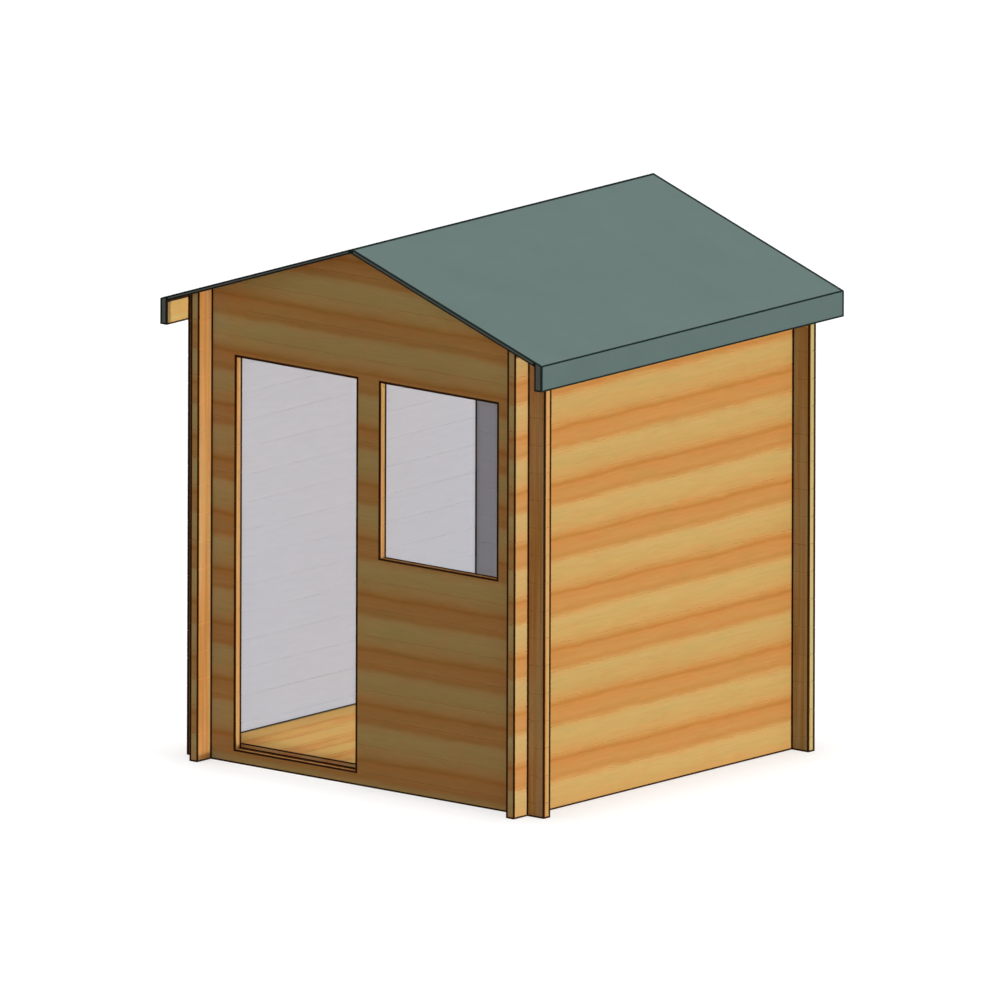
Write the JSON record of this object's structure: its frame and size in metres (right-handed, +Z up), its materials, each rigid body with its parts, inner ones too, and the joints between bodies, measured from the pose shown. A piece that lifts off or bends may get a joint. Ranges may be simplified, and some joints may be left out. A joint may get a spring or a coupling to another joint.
{
  "type": "log cabin",
  "caption": "Small square log cabin with crossed log corners, a gable front with an open doorway and window, a boarded floor and a felted pitched roof with deep eaves boards.",
  "frame": {"origin": "middle of the plan, on the ground", "axes": "+Z up; the gable front with the doorway faces -Y; +X is the side on the right when facing the front"},
  "size_m": [2.116, 2.013, 2.3606],
  "materials": {
    "wall_timber": "planed softwood logs, oiled outside, pale grey coat inside",
    "floor_timber": "planed softwood boards, bare",
    "roof_timber": "planed softwood boards, bare",
    "roofing_felt": "green mineral felt, matt"
  },
  "bodies": {
    "root": {"floor_bearers": "floor_timber", "floor_deck": "floor_timber", "left_wall_logs": "wall_timber", "left_wall_top_log": "wall_timber", "right_wall_logs": "wall_timber", "right_wall_top_log": "wall_timber", "back_sill_log": "wall_timber", "back_wall_logs": "wall_timber", "back_gable_logs": "wall_timber", "back_gable_peak": "wall_timber", "front_sill_log": "wall_timber", "front_logs_left_of_door": "wall_timber", "front_logs_below_window": "wall_timber", "window_sill_log": "wall_timber", "front_logs_between_openings": "wall_timber", "front_logs_right_of_window": "wall_timber", "front_head_log": "wall_timber", "front_eaves_logs": "wall_timber", "front_gable_logs": "wall_timber", "front_gable_peak": "wall_timber", "ridge_purlin": "roof_timber", "left_purlin": "roof_timber", "right_purlin": "roof_timber", "left_roof_deck": "roof_timber", "right_roof_deck": "roof_timber", "left_eaves_board": "roof_timber", "right_eaves_board": "roof_timber", "left_roof_felt": "roofing_felt", "right_roof_felt": "roofing_felt"}
  },
  "joints": []
}
